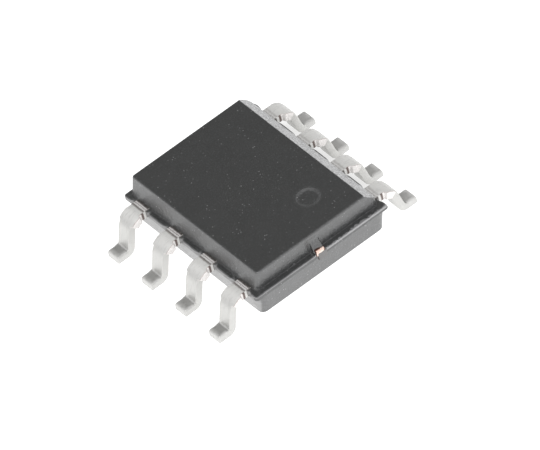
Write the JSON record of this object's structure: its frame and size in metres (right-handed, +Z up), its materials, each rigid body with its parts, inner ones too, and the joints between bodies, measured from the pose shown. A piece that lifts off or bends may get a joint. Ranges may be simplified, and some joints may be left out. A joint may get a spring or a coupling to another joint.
{
  "type": "soic chip",
  "caption": "Small-outline surface-mount chip package: drafted moulded body with a parting ledge, bevel and index dimple, gull-wing leads in two rows, and the die, pad and wires inside.",
  "frame": {"origin": "Centre of the footprint on the board plane, under the middle of the body; z = 0 is the underside of the feet.", "axes": "+X across the body from the lead 1 to 4 row to the lead 5 to 8 row, +Y along the rows towards leads 1 and 8, +Z up away from the board."},
  "size_m": [0.006, 0.005, 0.0015],
  "materials": {
    "mould_compound": "fine matt moulded epoxy",
    "tinned_lead": "satin tin plating on copper alloy",
    "copper_frame": "bare copper alloy",
    "die_attach": "silver-filled epoxy",
    "silicon": "polished silicon",
    "wire_gold": "drawn gold wire"
  },
  "bodies": {
    "root": {"body": "mould_compound", "lead_1": "tinned_lead", "lead_2": "tinned_lead", "lead_3": "tinned_lead", "lead_4": "tinned_lead", "lead_5": "tinned_lead", "lead_6": "tinned_lead", "lead_7": "tinned_lead", "lead_8": "tinned_lead", "die_pad": "copper_frame", "die_attach": "die_attach", "die": "silicon", "bond_wire_1": "wire_gold", "bond_wire_2": "wire_gold", "bond_wire_3": "wire_gold", "bond_wire_4": "wire_gold", "bond_wire_5": "wire_gold", "bond_wire_6": "wire_gold", "bond_wire_7": "wire_gold", "bond_wire_8": "wire_gold"}
  },
  "joints": []
}
